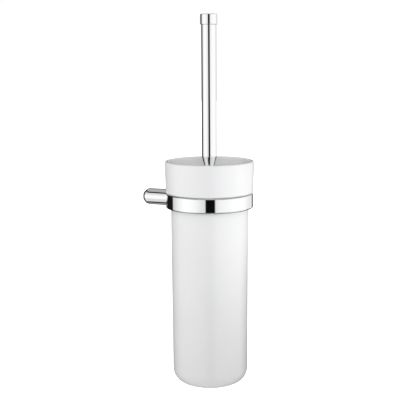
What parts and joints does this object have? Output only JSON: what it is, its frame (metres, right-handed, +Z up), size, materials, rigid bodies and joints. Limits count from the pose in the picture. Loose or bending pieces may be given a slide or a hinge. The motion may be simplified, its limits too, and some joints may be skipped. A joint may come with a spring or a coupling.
{
  "type": "toilet brush holder",
  "caption": "Wall-mounted toilet brush holder: a ceramic pot in a chromed ring on a short arm, with a chrome-handled brush.",
  "frame": {"origin": "middle of the wall face, on the arm's axis", "axes": "+Y into the wall, +Z up along the pot's axis, +X to the right seen from the room"},
  "size_m": [0.0968, 0.1264, 0.3992],
  "materials": {
    "chrome": "polished chrome plate on brass",
    "ceramic": "white gloss glaze",
    "steel": "plain stainless steel",
    "brass": "turned, unplated",
    "clear_plastic": "milky translucent plastic",
    "white_plastic": "moulded white plastic",
    "rubber": "matte black rubber",
    "nylon": "white nylon bristle"
  },
  "bodies": {
    "holder": {"wall_boss": "steel", "arm": "chrome", "grub_screw": "steel", "ring_screw": "steel", "support_ring": "chrome"},
    "liner": {"ring_liner": "clear_plastic"},
    "pot": {"pot": "ceramic"},
    "brush_head": {"head_core": "white_plastic", "bristle_row_1": "nylon", "bristle_row_2": "nylon", "bristle_row_3": "nylon", "bristle_row_4": "nylon", "bristle_row_5": "nylon", "bristle_row_6": "nylon", "bristle_row_7": "nylon", "bristle_row_8": "nylon", "bristle_tip": "nylon"},
    "washer": {"seal_washer": "rubber"},
    "handle": {"stem": "chrome", "ferrule": "chrome", "tube_insert": "brass", "handle_tube": "chrome", "cap_plug": "white_plastic", "handle_cap": "chrome"}
  },
  "joints": [
    {"name": "pot_turn", "type": "hinge", "parent": "holder", "child": "liner", "pos_m": [0, -0.078, 0], "axis": [0, 0, 1], "continuous": true},
    {"name": "pot_lift", "type": "slide", "parent": "liner", "child": "pot", "axis": [0, 0, 1], "range_m": [0, 0.215]},
    {"name": "brush_lift", "type": "slide", "parent": "pot", "child": "brush_head", "axis": [0, 0, 1], "range_m": [0, 0.245]},
    {"name": "handle_turn", "type": "hinge", "parent": "brush_head", "child": "washer", "pos_m": [0, -0.078, -0.0979], "axis": [0, 0, 1], "range_deg": [0, 2885]},
    {"name": "handle_unscrew", "type": "slide", "parent": "washer", "child": "handle", "axis": [0, 0, 1], "range_m": [0, 0.01]}
  ],
  "couplings": [
    {"joint": "handle_turn", "follows": "handle_unscrew", "rad_per_m": 5026.5}
  ]
}
